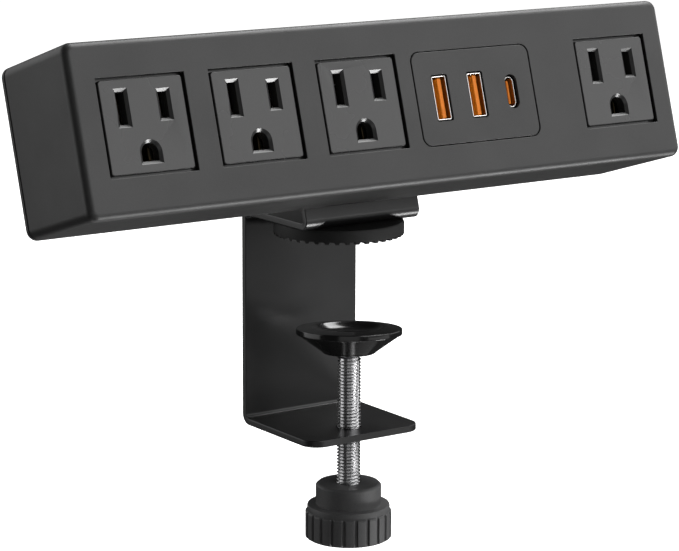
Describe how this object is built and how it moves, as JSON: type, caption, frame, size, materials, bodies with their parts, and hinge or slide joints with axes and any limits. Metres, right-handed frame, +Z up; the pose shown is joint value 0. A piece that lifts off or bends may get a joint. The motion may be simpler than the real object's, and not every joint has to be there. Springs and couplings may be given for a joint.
{
  "type": "desk power strip",
  "caption": "Long power strip leaning on a bent steel desk clamp: outlets and a USB panel in front, a screw with a swivel pad and ribbed knob below.",
  "frame": {"origin": "middle of the grip disc's lower face, where the clamp bears on the desk top", "axes": "+X along the strip, +Y from the outlets towards the clamp's back plate, +Z up"},
  "size_m": [0.2012, 0.067, 0.1571],
  "materials": {
    "housing_plastic": "fine-grained matt black moulded ABS",
    "outlet_plastic": "matt dark grey moulded nylon",
    "port_metal": "nickel-plated drawn steel",
    "orange_plastic": "orange moulded contact tongue",
    "circuit_board": "green solder-masked board",
    "capacitor_can": "sleeved aluminium can",
    "ferrite": "sintered ferrite and tape",
    "chip_plastic": "black moulded package",
    "contact_brass": "pressed brass",
    "carrier_plastic": "off-white insulating plastic",
    "screw_steel": "zinc-plated steel",
    "white_insulation": "white wire insulation",
    "black_insulation": "black wire insulation",
    "green_insulation": "green wire insulation",
    "bushing_rubber": "soft black rubber",
    "black_screw": "black oxide steel",
    "bracket_paint": "satin black powder coat",
    "grip_rubber": "black rubber-like plastic",
    "plated_steel": "bright zinc plate",
    "gloss_pad": "glossy black moulded plastic",
    "knob_plastic": "satin black moulded plastic"
  },
  "bodies": {
    "strip_and_clamp": {"front_housing": "housing_plastic", "rear_cover": "housing_plastic", "outlet_insert_1": "outlet_plastic", "outlet_insert_2": "outlet_plastic", "outlet_insert_3": "outlet_plastic", "outlet_insert_4": "outlet_plastic", "usb_panel": "housing_plastic", "usb_a_shell_1": "port_metal", "usb_a_tongue_1": "orange_plastic", "usb_a_shell_2": "port_metal", "usb_a_tongue_2": "orange_plastic", "usb_c_shell": "port_metal", "usb_c_tongue": "orange_plastic", "usb_circuit_board": "circuit_board", "usb_capacitors": "capacitor_can", "usb_transformer": "ferrite", "usb_controller_chip": "chip_plastic", "usb_supply_pins": "contact_brass", "neutral_strip": "contact_brass", "line_strip": "contact_brass", "ground_strip": "contact_brass", "contact_carrier": "carrier_plastic", "carrier_screws": "screw_steel", "terminal_block": "carrier_plastic", "terminal_screws": "screw_steel", "neutral_lead": "white_insulation", "line_lead": "black_insulation", "ground_lead": "green_insulation", "cord_inlet_bushing": "bushing_rubber", "rear_cover_screws": "black_screw", "bracket_screws": "black_screw", "clamp_bracket": "bracket_paint", "press_nut": "bracket_paint", "grip_disc": "grip_rubber", "disc_screw": "black_screw"},
    "jaw_stud": {"swivel_stud": "plated_steel"},
    "screw_and_knob": {"clamp_screw": "plated_steel", "knob": "knob_plastic", "knob_cap": "knob_plastic"},
    "jaw_pad": {"pressure_pad": "gloss_pad"}
  },
  "joints": [
    {"name": "jaw_travel", "type": "slide", "parent": "strip_and_clamp", "child": "jaw_stud", "axis": [0, 0, 1], "range_m": [-0.0205, 0.012]},
    {"name": "screw_turn", "type": "hinge", "parent": "jaw_stud", "child": "screw_and_knob", "pos_m": [0, -0.0055, -0.0625], "axis": [0, 0, 1], "range_deg": [-7382, 4322]},
    {"name": "pad_tilt", "type": "hinge", "parent": "jaw_stud", "child": "jaw_pad", "pos_m": [0, -0.0055, -0.0325], "axis": [0.8231, -0.5678, 0], "range_deg": [-1.7, 10.3]}
  ],
  "couplings": [
    {"joint": "screw_turn", "follows": "jaw_travel", "rad_per_m": 6283.2}
  ]
}
